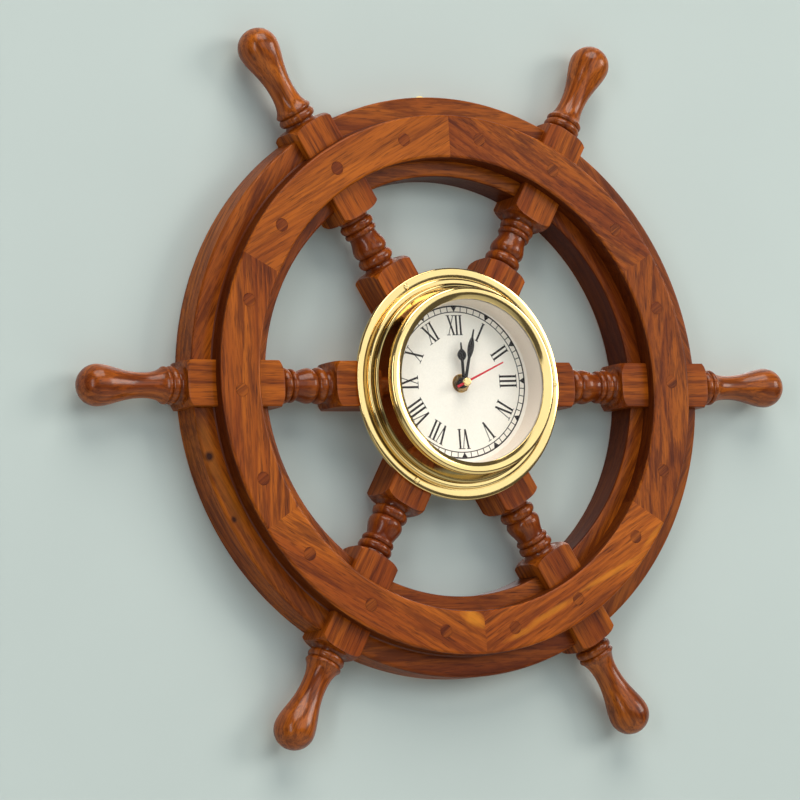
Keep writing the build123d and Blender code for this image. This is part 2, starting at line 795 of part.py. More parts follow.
with BuildPart() as dial_ring:
    with BuildSketch(radial_plane(0)):
        with BuildLine():
            Polyline(
                (dial_ring_foot_radius, dial_front_y),
                (dial_ring_outer_radius, dial_front_y),
                (dial_ring_outer_radius, dial_front_y - dial_ring_wall),
                (dial_ring_foot_radius + dial_ring_wall, dial_front_y - dial_ring_wall),
                (dial_ring_top_radius + dial_ring_wall, glass_back_y + dial_ring_wall),
                (dial_ring_flange_radius, glass_back_y + dial_ring_wall),
                (dial_ring_flange_radius, glass_back_y),
                (dial_ring_top_radius, glass_back_y),
                close=True,
            )
        make_face()
    revolve(axis=wheel_axis)
save(dial_ring.part, "dial_ring")

# Washers and nut that clamp the dial to the movement's threaded bush
def washer(inner_radius, outer_radius, back_y, thickness):
    """A flat ring about the clock's axis."""
    with BuildSketch(face_plane(back_y)) as ring:
        Circle(outer_radius)
        Circle(inner_radius, mode=Mode.SUBTRACT)
    extrude(ring.sketch, amount=thickness)


with BuildPart() as rubber_washer:
    washer(bush_hole_radius, bush_radius + rubber_washer_width, movement_front_y, rubber_washer_thickness)
save(rubber_washer.part, "rubber_washer")

with BuildPart() as dial_washer:
    washer(bush_hole_radius, bush_radius + washer_width, dial_front_y, washer_thickness)
save(dial_washer.part, "dial_washer")

with BuildPart() as dial_nut:
    with BuildSketch(face_plane(nut_back_y)):
        RegularPolygon(bush_radius + nut_wall, 6, major_radius=False)
        Circle(bush_hole_radius, mode=Mode.SUBTRACT)
    extrude(amount=nut_thickness)
save(dial_nut.part, "dial_nut")


def gear_outline(teeth, module, tooth_angle):
    """Straight-sided teeth with wide backlash; one tooth points along tooth_angle."""
    tip = module * (teeth / 2 + addendum)
    root = module * (teeth / 2 - dedendum)
    pitch = 360 / teeth
    corners = [(root, -root_share), (tip, -tip_share), (tip, tip_share), (root, root_share)]
    return [
        on_circle(radius, tooth_angle + (tooth + share / 2) * pitch)
        for tooth in range(teeth)
        for radius, share in corners
    ]


def gear(teeth, module, back_y, axis, tooth_angle, thickness=wheel_thickness):
    """A toothed disc whose back face is at back_y."""
    with BuildSketch(face_plane(back_y, *axis)) as disc:
        with BuildLine():
            Polyline(*gear_outline(teeth, module, tooth_angle), close=True)
        make_face()
    extrude(disc.sketch, amount=thickness)


def facing_space(direction, teeth):
    """The tooth angle that turns a gap towards a driver's tooth lying along direction."""
    return direction + 180 + 180 / teeth


def rod(radius, back_y, front_y, axis=(0.0, 0.0), mode=Mode.ADD):
    """A round rod along the clock's depth, or the bore for one."""
    with BuildSketch(face_plane(back_y, *axis)) as section:
        Circle(radius)
    extrude(section.sketch, amount=back_y - front_y, mode=mode)


# Hour wheel with its pipe
with BuildPart() as hour_wheel:
    hour_tooth_angle = facing_space(motion_direction + 180, hour_teeth)
    gear(hour_teeth, hour_module, hour_level_y, clock_axis, hour_tooth_angle)
    rod(hour_pipe_radius, hour_level_y, hour_pipe_end_y)
    rod(minute_arbor_radius + running_fit, hour_level_y, hour_pipe_end_y, mode=Mode.SUBTRACT)
save(hour_wheel.part, "hour_wheel")

# Minute arbor: the cannon pinion and the tube that carries the minute hand
minute_arbor_back_y = centre_level_y + wheel_gap / 2
with BuildPart() as minute_arbor:
    gear(cannon_teeth, cannon_module, cannon_level_y, clock_axis, motion_direction)
    rod(minute_arbor_radius, minute_arbor_back_y, minute_tube_end_y)
    rod(seconds_arbor_radius + running_fit, minute_arbor_back_y, minute_tube_end_y, mode=Mode.SUBTRACT)
save(minute_arbor.part, "minute_arbor")

# Centre wheel, which grips the minute arbor and slips when the hands are set
with BuildPart() as centre_wheel:
    centre_tooth_angle = facing_space(third_direction + 180, centre_teeth)
    centre_front_y = centre_level_y - wheel_thickness
    gear(centre_teeth, centre_module, centre_level_y, clock_axis, centre_tooth_angle)
    rod(minute_arbor_radius + running_fit, centre_level_y, centre_front_y, mode=Mode.SUBTRACT)
save(centre_wheel.part, "centre_wheel")

# Seconds wheel and pinion on the arbor that carries the seconds hand
with BuildPart() as seconds_wheel:
    seconds_tooth_angle = facing_space(intermediate_direction + 180, seconds_teeth)
    gear(seconds_teeth, seconds_module, seconds_level_y, clock_axis, seconds_tooth_angle)
    gear(seconds_pinion_teeth, third_module, third_level_y, clock_axis, third_direction)
    rod(seconds_arbor_radius, bearing_y, seconds_hand_front_y)
    rod(pivot_radius, bearing_y + pivot_length, bearing_y)
save(seconds_wheel.part, "seconds_wheel")

# Third wheel and pinion
with BuildPart() as third_wheel:
    third_tooth_angle = facing_space(third_direction, third_teeth)
    gear(third_teeth, third_module, third_level_y, third_axis, third_tooth_angle)
    gear(third_pinion_teeth, centre_module, centre_level_y, third_axis, third_direction + 180)
    rod(seconds_arbor_radius, bearing_y, plate_back_y, third_axis)
    rod(pivot_radius, bearing_y + pivot_length, bearing_y, third_axis)
    rod(pivot_radius, plate_back_y, plate_back_y - pivot_length, third_axis)
save(third_wheel.part, "third_wheel")

# Intermediate wheel and pinion
with BuildPart() as intermediate_wheel:
    wheel_tooth_angle = facing_space(rotor_direction + 180, intermediate_teeth)
    pinion_tooth_angle = intermediate_direction + 180
    gear(intermediate_teeth, rotor_module, rotor_level_y, intermediate_axis, wheel_tooth_angle)
    gear(intermediate_pinion_teeth, seconds_module, seconds_level_y, intermediate_axis, pinion_tooth_angle)
    rod(seconds_arbor_radius, bearing_y, plate_back_y, intermediate_axis)
    rod(pivot_radius, bearing_y + pivot_length, bearing_y, intermediate_axis)
    rod(pivot_radius, plate_back_y, plate_back_y - pivot_length, intermediate_axis)
save(intermediate_wheel.part, "intermediate_wheel")

# Rotor: a round magnet and its pinion
magnet_back_y = seconds_level_y - stator_thickness / 2 + rotor_magnet_length / 2
with BuildPart() as rotor:
    gear(rotor_pinion_teeth, rotor_module, rotor_level_y, rotor_axis, rotor_direction + 180)
    rod(rotor_magnet_radius, magnet_back_y, magnet_back_y - rotor_magnet_length, rotor_axis)
    rod(seconds_arbor_radius, bearing_y, plate_back_y, rotor_axis)
    rod(pivot_radius, bearing_y + pivot_length, bearing_y, rotor_axis)
    rod(pivot_radius, plate_back_y, plate_back_y - pivot_length, rotor_axis)
save(rotor.part, "rotor")

# Motion wheel and pinion, on the arbor that the setting knob turns
with BuildPart() as motion_wheel:
    motion_tooth_angle = facing_space(motion_direction, motion_teeth)
    gear(motion_teeth, cannon_module, cannon_level_y, motion_axis, motion_tooth_angle)
    gear(motion_pinion_teeth, hour_module, hour_level_y, motion_axis, motion_direction + 180)
    rod(motion_arbor_radius, knob_front_y, movement_inner_y, motion_axis)
    rod(pivot_radius, movement_inner_y, movement_inner_y - pivot_length, motion_axis)
save(motion_wheel.part, "motion_wheel")

with BuildPart() as setting_knob:
    with BuildSketch(face_plane(knob_front_y + knob_thickness, *motion_axis)):
        Circle(knob_radius)
        with PolarLocations(knob_radius, knob_flutes):
            Circle(knob_flute_radius, mode=Mode.SUBTRACT)
    extrude(amount=knob_thickness)
save(setting_knob.part, "setting_knob")

# Gear plate, on feet that stand on the movement's front wall
plate_low_z = gear_plate_gap - wheelwork_drop
plate_top_z = rotor_axis[1] + gear_plate_margin
gear_plate_height = plate_top_z - plate_low_z
plate_middle_z = plate_low_z + gear_plate_height / 2
board_low_z = plate_top_z - board_lap
board_middle_z = board_low_z + board_height / 2
board_posts = [
    (board_offset - board_post_spacing / 2, board_low_z + board_post_radius),
    (board_offset + board_post_spacing / 2, board_low_z + board_post_radius),
]
stator_post_reach = (stator_span - stator_arm_width) / 2
stator_posts = [
    (rotor_axis[0] - stator_post_reach, rotor_axis[1]),
    (rotor_axis[0] + stator_post_reach, rotor_axis[1]),
]
pivoted_axes = [third_axis, intermediate_axis, rotor_axis]

with BuildPart() as gear_plate:
    with BuildSketch(face_plane(plate_back_y, 0, plate_middle_z)):
        Rectangle(gear_plate_width, gear_plate_height)
    extrude(amount=gear_plate_thickness)
    foot_inset = 2 * plate_post_radius
    foot_columns = gear_plate_width - 2 * foot_inset
    foot_rows = gear_plate_height - 2 * foot_inset
    with BuildSketch(face_plane(plate_front_y, 0, plate_middle_z)):
        with GridLocations(foot_columns, foot_rows, 2, 2):
            Circle(plate_post_radius)
    extrude(amount=plate_front_y - movement_inner_y)
    for post in stator_posts:
        rod(plate_post_radius, seconds_level_y - stator_thickness, plate_back_y, post)
    for post in board_posts:
        rod(board_post_radius, board_front_y, plate_back_y, post)
    rod(minute_arbor_radius + running_fit, plate_back_y, plate_front_y, mode=Mode.SUBTRACT)
    rod(motion_arbor_radius + running_fit, plate_back_y, plate_front_y, motion_axis, mode=Mode.SUBTRACT)
    for axis in pivoted_axes:
        rod(pivot_radius + running_fit, plate_back_y, plate_front_y, axis, mode=Mode.SUBTRACT)
save(gear_plate.part, "gear_plate")

# Stator around the rotor, with two arms that reach up to the coil
stator_low_z = rotor_axis[1] - stator_arm_width / 2
stator_top_z = coil_z + stator_arm_width / 2
with BuildPart() as stator:
    with BuildSketch(face_plane(seconds_level_y)):
        with Locations(rotor_axis):
            Rectangle(stator_span, stator_arm_width)
            Circle(rotor_magnet_radius + rotor_air_gap + stator_rim)
        with Locations(*[(x, (stator_low_z + stator_top_z) / 2) for x, z in stator_posts]):
            Rectangle(stator_arm_width, stator_top_z - stator_low_z)
        with Locations(rotor_axis):
            Circle(rotor_magnet_radius + rotor_air_gap, mode=Mode.SUBTRACT)
    extrude(amount=stator_thickness)
save(stator.part, "stator")

# Coil: a winding on a flat core that lies across the stator's arms
core_middle_y = seconds_level_y + stator_thickness / 2
coil_start = (rotor_axis[0] - coil_length / 2, core_middle_y, coil_z)
with BuildPart() as coil:
    with BuildSketch(face_plane(seconds_level_y + stator_thickness, rotor_axis[0], coil_z)):
        Rectangle(stator_span, stator_arm_width)
    extrude(amount=stator_thickness)
    with BuildSketch(Plane(origin=coil_start, z_dir=(1, 0, 0))):
        Circle(coil_radius)
    extrude(amount=coil_length)
save(coil.part, "coil")

with BuildPart() as circuit_board:
    with BuildSketch(face_plane(board_back_y, board_offset, board_middle_z)):
        Rectangle(board_width, board_height)
    extrude(amount=board_thickness)
save(circuit_board.part, "circuit_board")

# Movement case: a shallow box, open at the back, with a wall above the battery bay
cavity_width = movement_width - 2 * movement_wall
cavity_height = movement_height - 2 * movement_wall
divider_low_z = -wheelwork_drop - divider_wall
with BuildPart() as movement_case:
    with BuildSketch(face_plane(movement_back_y, 0, movement_middle_z)):
        RectangleRounded(movement_width, movement_height, movement_corner)
    extrude(amount=movement_back_y - movement_front_y)
    with BuildSketch(face_plane(movement_back_y, 0, movement_middle_z)):
        RectangleRounded(cavity_width, cavity_height, movement_corner - movement_wall)
        with Locations((0, divider_low_z + divider_wall / 2 - movement_middle_z)):
            Rectangle(cavity_width, divider_wall, mode=Mode.SUBTRACT)
    extrude(amount=movement_back_y - movement_inner_y, mode=Mode.SUBTRACT)
    rod(bush_radius, movement_front_y, bush_front_y)
    rod(hour_pipe_radius + running_fit, movement_inner_y, bush_front_y, mode=Mode.SUBTRACT)
    rod(
        pivot_radius + running_fit,
        movement_inner_y,
        movement_inner_y - pivot_length - running_fit,
        motion_axis,
        mode=Mode.SUBTRACT,
    )
save(movement_case.part, "movement_case")

# Cover over the wheelwork, with a bearing boss behind each arbor; the battery bay stays open
cover_height = movement_top - divider_low_z
with BuildPart() as movement_cover:
    with BuildSketch(face_plane(cover_back_y, 0, divider_low_z + cover_height / 2)) as cover_face:
        Rectangle(movement_width, cover_height)
        fillet(cover_face.vertices().group_by(Axis.Y)[-1], movement_corner)
    extrude(amount=movement_cover_thickness)
    for axis in [clock_axis, *pivoted_axes]:
        rod(bearing_boss_radius, movement_back_y, bearing_y, axis)
        rod(
            pivot_radius + running_fit,
            bearing_y + pivot_length + running_fit,
            bearing_y,
            axis,
            mode=Mode.SUBTRACT,
        )
    rod(motion_arbor_radius + running_fit, cover_back_y, movement_back_y, motion_axis, mode=Mode.SUBTRACT)
save(movement_cover.part, "movement_cover")

# Battery, lying across the bottom of the movement between two contacts
battery_axis_y = movement_inner_y + battery_radius + battery_gap
battery_axis_z = divider_low_z - battery_bay_height / 2
battery_end = (battery_length + battery_nub_length) / 2


def battery_plane(x):
    """A plane across the battery's length, facing +X."""
    return Plane(origin=(x, battery_axis_y, battery_axis_z), x_dir=(0, 1, 0), z_dir=(1, 0, 0))


with BuildPart() as battery:
    with BuildSketch(battery_plane(-battery_end)):
        Circle(battery_radius)
    extrude(amount=battery_length)
    with BuildSketch(battery_plane(battery_end - battery_nub_length)):
        Circle(battery_nub_radius)
    extrude(amount=battery_nub_length)
save(battery.part, "battery")

with BuildPart() as battery_contacts:
    for side in (-1, 1):
        with BuildSketch(battery_plane(side * cavity_width / 2)):
            Rectangle(contact_width, contact_width)
        extrude(amount=-side * contact_thickness)
        with BuildSketch(battery_plane(side * battery_end)):
            Circle(contact_bump_radius)
        extrude(amount=side * (cavity_width / 2 - contact_thickness - battery_end))
save(battery_contacts.part, "battery_contacts")


# Hands
def hand_plane(y, clock_angle):
    """A plane that faces the viewer, with its local Y along a hand."""
    turn = radians(clock_angle)
    return Plane(origin=(0, y, 0), x_dir=(cos(turn), 0, -sin(turn)), z_dir=(0, -1, 0))


def hand_blade(length, bulge, neck_share, bulge_share, shoulder_share):
    """A hand's outline: a shaft, a bulge of the given half width and a long point."""
    neck = (hand_neck_half_width, neck_share * length)
    shoulder = (hand_shoulder_half_width, shoulder_share * length)
    with BuildLine() as outline:
        Polyline((0, 0), (hand_shaft_half_width, 0), neck)
        Spline(neck, (bulge, bulge_share * length), shoulder)
        Polyline(shoulder, (hand_tip_half_width, length), (0, length))
        mirror(about=Plane.YZ)
    make_face(outline.edges())


with BuildPart() as hour_hand:
    with BuildSketch(hand_plane(hour_hand_back_y, hour_angle)):
        hand_blade(hour_hand_length, hour_hand_bulge, 0.55, 0.67, 0.84)
        Circle(hand_boss_radius)
        Circle(hour_pipe_radius, mode=Mode.SUBTRACT)
    extrude(amount=hand_thickness)
save(hour_hand.part, "hour_hand")

with BuildPart() as minute_hand:
    with BuildSketch(hand_plane(minute_hand_back_y, minute_angle)):
        hand_blade(minute_hand_length, minute_hand_bulge, 0.47, 0.69, 0.85)
        Circle(hand_boss_radius)
        Circle(minute_arbor_radius, mode=Mode.SUBTRACT)
    extrude(amount=hand_thickness)
save(minute_hand.part, "minute_hand")

with BuildPart() as seconds_hand:
    with BuildSketch(hand_plane(seconds_hand_back_y, seconds_angle)):
        with BuildLine():
            Polyline(
                (-seconds_tail_half_width, -seconds_tail_length),
                (seconds_tail_half_width, -seconds_tail_length),
                (seconds_tip_half_width, seconds_hand_length),
                (-seconds_tip_half_width, seconds_hand_length),
                close=True,
            )
        make_face()
        Circle(seconds_arbor_radius + seconds_hub_wall)
        Circle(seconds_arbor_radius, mode=Mode.SUBTRACT)
    extrude(amount=hand_thickness)
save(seconds_hand.part, "seconds_hand")

with BuildPart() as seconds_cap:
    with BuildSketch(face_plane(seconds_hand_front_y)):
        Circle(seconds_cap_radius)
    extrude(amount=seconds_cap_height)
    fillet(seconds_cap.edges().group_by(Axis.Y)[0], seconds_cap_round)
save(seconds_cap.part, "seconds_cap")
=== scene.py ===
# %% [markdown]
# # A ship's-wheel wall clock
# This lesson dresses a finished construction model: a wooden wheel with a brass clock on its hub.
# The construction comes in as a fixed frame, with every piece at its real size and place, in metres.
# +X is right as seen from the front, +Z is up, and the clock faces -Y from the wall at y = 0.

# %% Load the frame
from math import cos, pi, radians, sin

import bmesh
import bpy
from mathutils import Matrix, Vector


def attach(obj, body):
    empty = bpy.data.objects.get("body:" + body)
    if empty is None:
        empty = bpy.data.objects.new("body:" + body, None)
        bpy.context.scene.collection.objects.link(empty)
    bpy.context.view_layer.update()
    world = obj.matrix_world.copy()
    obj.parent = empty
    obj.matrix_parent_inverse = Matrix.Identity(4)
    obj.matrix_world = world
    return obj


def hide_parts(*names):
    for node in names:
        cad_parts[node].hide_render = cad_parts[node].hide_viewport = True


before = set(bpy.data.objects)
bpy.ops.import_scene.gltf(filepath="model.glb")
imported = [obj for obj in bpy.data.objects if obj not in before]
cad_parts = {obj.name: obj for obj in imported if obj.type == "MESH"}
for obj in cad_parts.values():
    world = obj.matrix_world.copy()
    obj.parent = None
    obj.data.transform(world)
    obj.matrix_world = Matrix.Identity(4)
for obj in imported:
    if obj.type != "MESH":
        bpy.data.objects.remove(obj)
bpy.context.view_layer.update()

MM = 0.001
scene = bpy.context.scene
scene.view_settings.view_transform = "Standard"

# %% [markdown]
# ## The camera
# The wheel is seen from its left, a little from below, by a long lens that is held slightly tilted.
# Three angles and a distance say that more plainly than a matrix would, so the camera's own axes are
# worked out from them. The lens follows from how large the wheel is in the picture.

# %% Camera
VIEW_AZIMUTH = radians(-30.07)
VIEW_ELEVATION = radians(-5.86)
VIEW_ROLL = radians(-3.23)
CAMERA_PLACE = Vector((-1.4778, -2.4983, -0.3045))
LENS_MM = 173.46
SENSOR_MM = 36.0


def camera_axes(azimuth, elevation, roll):
    """The camera's right, up and backward directions."""
    back = Vector((
        sin(azimuth) * cos(elevation),
        -cos(azimuth) * cos(elevation),
        sin(elevation),
    ))
    level_right = Vector((0, 0, 1)).cross(back).normalized()
    level_up = back.cross(level_right)
    right = cos(roll) * level_right + sin(roll) * level_up
    return right, back.cross(right), back


camera_data = bpy.data.cameras.new("photo_camera")
camera_data.lens = LENS_MM
camera_data.sensor_width = SENSOR_MM
camera_data.sensor_fit = "HORIZONTAL"
camera = bpy.data.objects.new("photo_camera", camera_data)
scene.collection.objects.link(camera)
axes = Matrix(camera_axes(VIEW_AZIMUTH, VIEW_ELEVATION, VIEW_ROLL)).transposed()
camera.matrix_world = Matrix.Translation(CAMERA_PLACE) @ axes.to_4x4()
scene.camera = camera
print("camera at", tuple(round(v, 3) for v in camera.location), "with a", LENS_MM, "mm lens")

# %% [markdown]
# ## Wall, floor and light
# The clock hangs flat on a wall, so the backdrop is a pale painted wall just behind y = 0 that meets
# a pale floor well below the picture. From behind, the wall would hide the clock and keep light from
# it, so its material is clear on its back face and for shadow rays. A soft lamp high in front gives
# the shadows and another at the right fills them. Two dim windows, in front and at the left, are what
# the brass shows, and a lamp behind the wall lights the back. Polished metal needs dark parts of a
# room as much as bright ones, so the sky is dim where a mirror looks at it.

# %% Node helpers
def new_material(name):
    """A material with an empty node tree and its output."""
    material = bpy.data.materials.new(name)
    material.use_nodes = True
    tree = material.node_tree
    tree.nodes.clear()
    output = tree.nodes.new("ShaderNodeOutputMaterial")
    return material, tree, output


def node(tree, kind, inputs=(), **settings):
    """A shader node with its settings, and with inputs given as values or as other sockets."""
    made = tree.nodes.new("ShaderNode" + kind)
    for key, value in settings.items():
        setattr(made, key, value)
    for key, value in dict(inputs).items():
        if isinstance(value, bpy.types.NodeSocket):
            tree.links.new(value, made.inputs[key])
        else:
            made.inputs[key].default_value = value
    return made


def shade(r, g, b):
    """A colour given as it looks on a screen, 0 to 255, as the linear value that a shader takes."""
    def linear(v):
        v = v / 255
        return v / 12.92 if v <= 0.04045 else ((v + 0.055) / 1.055) ** 2.4
    return (linear(r), linear(g), linear(b), 1.0)


def dimmed(colour, share):
    """A colour with its light cut to a share."""
    return [share * c for c in colour[:3]] + [1]


def ramp(tree, factor, stops):
    """A colour ramp with the given (place, colour) stops."""
    made = node(tree, "ValToRGB", {"Fac": factor})
    elements = made.color_ramp.elements
    while len(elements) < len(stops):
        elements.new(0.5)
    for element, (place, colour) in zip(elements, stops):
        element.position = place
        element.color = colour
    return made.outputs["Color"]


def mix(tree, factor, a, b, blend="MIX"):
    """A colour mix of two colours or sockets."""
    made = node(tree, "Mix", data_type="RGBA", blend_type=blend)
    for socket, value in zip((made.inputs[0], made.inputs[6], made.inputs[7]), (factor, a, b)):
        if isinstance(value, bpy.types.NodeSocket):
            tree.links.new(value, socket)
        else:
            socket.default_value = value
    return made.outputs[2]


def maths(tree, operation, a, b=0.0, c=0.0):
    """One sum on values or sockets."""
    return node(tree, "Math", {0: a, 1: b, 2: c}, operation=operation).outputs[0]


print("a screen's middle grey of 128 is", round(shade(128, 128, 128)[0], 3), "to a shader")

# %% Wall and floor
WALL_COLOUR = shade(191, 201, 196)
FLOOR_COLOUR = shade(206, 208, 203)
FLOOR_Z = -2.2
WALL_SPAN = 7.0
WALL_BACK = 0.0015
MOTTLE_LOW, MOTTLE_HIGH = 0.96, 1.03


def plain_paint(name, colour, clear_back):
    """Matt paint with a faint mottle; clear_back makes it clear from behind and for shadow rays."""
    material, tree, output = new_material(name)
    place = node(tree, "TexCoord").outputs["Object"]
    mottle = node(tree, "TexNoise", {"Vector": place, "Scale": 5.0, "Detail": 2.0}).outputs["Fac"]
    tint = mix(tree, mottle, dimmed(colour, MOTTLE_LOW), dimmed(colour, MOTTLE_HIGH))
    paint = node(tree, "BsdfPrincipled", {
        "Base Color": tint, "Roughness": 0.85, "Specular IOR Level": 0.2})
    surface = paint.outputs[0]
    if clear_back:
        shadow = node(tree, "LightPath").outputs["Is Shadow Ray"]
        behind = maths(tree, "MAXIMUM", node(tree, "NewGeometry").outputs["Backfacing"], shadow)
        clear = node(tree, "BsdfTransparent").outputs[0]
        surface = node(tree, "MixShader", {0: behind, 1: surface, 2: clear}).outputs[0]
    tree.links.new(surface, output.inputs["Surface"])
    return material


def mesh_object(name, bm, material):
    """An object at the origin from a bmesh, which is freed."""
    mesh = bpy.data.meshes.new(name)
    bm.to_mesh(mesh)
    bm.free()
    made = bpy.data.objects.new(name, mesh)
    scene.collection.objects.link(made)
    mesh.materials.append(material)
    return made


def stage_sheet(name, turn, place, material):
    """A large square of the backdrop."""
    bm = bmesh.new()
    matrix = Matrix.Translation(place) @ turn
    bmesh.ops.create_grid(bm, x_segments=1, y_segments=1, size=WALL_SPAN / 2, matrix=matrix)
    sheet = mesh_object(name, bm, material)
    return sheet


wall_place = Vector((0, WALL_BACK, FLOOR_Z + WALL_SPAN / 2))
floor_place = Vector((0, WALL_BACK - WALL_SPAN / 2, FLOOR_Z))
upright = Matrix.Rotation(pi / 2, 4, "X")
wall = stage_sheet("wall", upright, wall_place, plain_paint("wall_paint", WALL_COLOUR, True))
floor_paint = plain_paint("floor_paint", FLOOR_COLOUR, False)
stage_sheet("floor", Matrix.Identity(4), floor_place, floor_paint)
print("wall faces", tuple(wall.data.polygons[0].normal), "floor at z =", FLOOR_Z)

# %% Lamps and sky
SKY_COLOUR = (0.70, 0.90, 1.15, 1)
SKY_STRENGTH = 0.145
MIRRORED_SKY = 0.10
BACKDROP_COLOUR = shade(205, 212, 205)
MIRRORED_COLOUR = (1.0, 0.97, 0.92, 1)
WARM_LIGHT = (1.0, 0.96, 0.90)


def soft_lamp(name, place, width, height, watts, colour):
    """A rectangular area lamp that looks at the middle of the wheel."""
    data = bpy.data.lights.new(name, "AREA")
    data.shape = "RECTANGLE"
    data.size = width
    data.size_y = height
    data.energy = watts
    data.color = colour
    lamp = bpy.data.objects.new(name, data)
    scene.collection.objects.link(lamp)
    lamp.location = place
    lamp.rotation_euler = (-Vector(place)).to_track_quat("-Z", "Y").to_euler()


soft_lamp("high_lamp", (0.0, -2.9, 4.9), 4.4, 3.6, 260, WARM_LIGHT)
soft_lamp("right_lamp", (4.6, -3.6, 1.4), 2.2, 2.2, 120, WARM_LIGHT)
soft_lamp("front_window", (0.9, -3.0, 0.75), 3.8, 1.8, 26, (0.90, 0.96, 1.0))
soft_lamp("left_window", (-3.2, -2.8, 0.4), 0.7, 3.0, 38, (0.96, 0.98, 1.0))
soft_lamp("back_lamp", (2.0, 2.2, 1.6), 1.5, 1.5, 90, (1.0, 1.0, 1.0))
world = bpy.data.worlds.new("soft_sky")
world.use_nodes = True
scene.world = world
sky_tree = world.node_tree
sky = sky_tree.nodes["Background"]
sky.inputs["Color"].default_value = SKY_COLOUR
sky.inputs["Strength"].default_value = SKY_STRENGTH
dim_sky = node(sky_tree, "Background", {"Color": MIRRORED_COLOUR, "Strength": MIRRORED_SKY})
backdrop = node(sky_tree, "Background", {"Color": BACKDROP_COLOUR, "Strength": 1.0})
path = node(sky_tree, "LightPath").outputs
room = node(sky_tree, "MixShader", {
    0: path["Is Glossy Ray"], 1: sky.outputs[0], 2: dim_sky.outputs[0]})
seen = node(sky_tree, "MixShader", {
    0: path["Is Camera Ray"], 1: room.outputs[0], 2: backdrop.outputs[0]})
sky_tree.links.new(seen.outputs[0], sky_tree.nodes["World Output"].inputs["Surface"])
print("five lamps, a sky of strength", SKY_STRENGTH, "and", MIRRORED_SKY, "in mirrors")

# %% [markdown]
# ## Varnished wood
# The wheel is rosewood: an orange-brown ground with long dark streaks, fine dark pores and a satin
# varnish. Each felloe and spoke was sawn from its own board, so the grain runs straight along each
# piece and every piece has its own tone. The pattern is solid, like the wood: growth rings round a
# pith that lies outside the board, stretched along the grain, so that faces, edges and turned beads
# all cut through the same figure. A Mapping node turns it to each piece's length.

# %% Wood colours
LIGHT_WOOD = shade(190, 101, 23)
MID_WOOD = shade(149, 69, 16)
DARK_WOOD = shade(74, 26, 6)
PORE_WOOD = shade(44, 16, 6)
SAP_WOOD = shade(222, 138, 34)
STAIN = shade(96, 34, 6)
BLACK, WHITE = (0, 0, 0, 1), (1, 1, 1, 1)
EARLY_RING = (0.84, 0.76, 0.68, 1)
LATE_RING = (0.42, 0.3, 0.22, 1)
NEXT_RING = (0.9, 0.85, 0.8, 1)
print("wood from", LIGHT_WOOD, "to", DARK_WOOD)

# %% Wood figure
BOARD_STRETCH = 0.07
BOARD_SHIFT = 0.37
PITH_NEAR, PITH_STEP, PITH_SIDE = 0.052, 0.009, 0.012
SWAY = (0, 0.016, 0.016)
LINE_STRETCH, FIBRE_STRETCH = (28, 620, 620), (60, 1300, 1300)
TONE_SHARE, LINE_SHARE, PORE_SHARE = 0.6, 0.38, 0.55
RING_BASE, RING_GAIN = 0.35, 0.6
STREAK_BASE, STREAK_GAIN = 0.2, 0.7


def wood_figure(tree, along, seed, tone, streaks):
    """The colour of the bare wood and the fine fibre that its pores and gloss follow."""
    board = node(tree, "Mapping", {
        "Vector": along,
        "Location": (
            BOARD_SHIFT * seed, PITH_NEAR + PITH_STEP * (seed % 4), PITH_SIDE * ((seed * 7) % 5 - 2)),
        "Scale": (BOARD_STRETCH, 1, 1),
    }).outputs["Vector"]
    sway = node(tree, "TexNoise", {"Vector": board, "Scale": 26.0, "Detail": 2.0}).outputs["Color"]
    drift = node(tree, "VectorMath", {0: sway, 1: SWAY}, operation="MULTIPLY").outputs[0]
    swayed = node(tree, "VectorMath", {0: board, 1: drift}).outputs[0]
    rings = node(tree, "TexWave", {
        "Vector": swayed, "Scale": 46.0, "Distortion": 1.6, "Detail": 3.0, "Detail Scale": 4.0,
        "Detail Roughness": 0.6,
    }, wave_type="RINGS", rings_direction="X", wave_profile="SAW").outputs["Fac"]
    streak = node(tree, "TexNoise", {
        "Vector": swayed, "Scale": 210.0, "Detail": 4.0, "Roughness": 0.65}).outputs["Fac"]
    cloud = node(tree, "TexNoise", {"Vector": board, "Scale": 46.0, "Detail": 3.0}).outputs["Fac"]
    fibre_place = node(tree, "Mapping", {"Vector": along, "Scale": FIBRE_STRETCH}).outputs["Vector"]
    fibre = node(tree, "TexNoise", {"Vector": fibre_place, "Scale": 1.0, "Detail": 2.0}).outputs["Fac"]
    line_place = node(tree, "Mapping", {"Vector": along, "Scale": LINE_STRETCH}).outputs["Vector"]
    lines = node(tree, "TexNoise", {"Vector": line_place, "Scale": 1.0, "Detail": 3.0}).outputs["Fac"]

    ground = ramp(tree, cloud, [(0.35, MID_WOOD), (0.65, LIGHT_WOOD)])
    ground = mix(tree, TONE_SHARE * (1 - tone), ground, DARK_WOOD)
    ring_shade = ramp(tree, rings, [
        (0.0, WHITE), (0.6, EARLY_RING), (0.9, LATE_RING), (1.0, NEXT_RING)])
    ground = mix(tree, RING_BASE + RING_GAIN * streaks, ground, ring_shade, "MULTIPLY")
    streak_mask = ramp(tree, streak, [(0.49, BLACK), (0.61, WHITE)])
    streak_share = STREAK_BASE + STREAK_GAIN * streaks
    ground = mix(tree, maths(tree, "MULTIPLY", streak_mask, streak_share), ground, DARK_WOOD)
    line_mask = ramp(tree, lines, [(0.46, BLACK), (0.62, WHITE)])
    ground = mix(tree, maths(tree, "MULTIPLY", line_mask, LINE_SHARE), ground, DARK_WOOD)
    pores = ramp(tree, fibre, [(0.56, BLACK), (0.70, WHITE)])
    return mix(tree, maths(tree, "MULTIPLY", pores, PORE_SHARE), ground, PORE_WOOD), fibre


print("figure drawn out", round(1 / BOARD_STRETCH), "times along the grain")

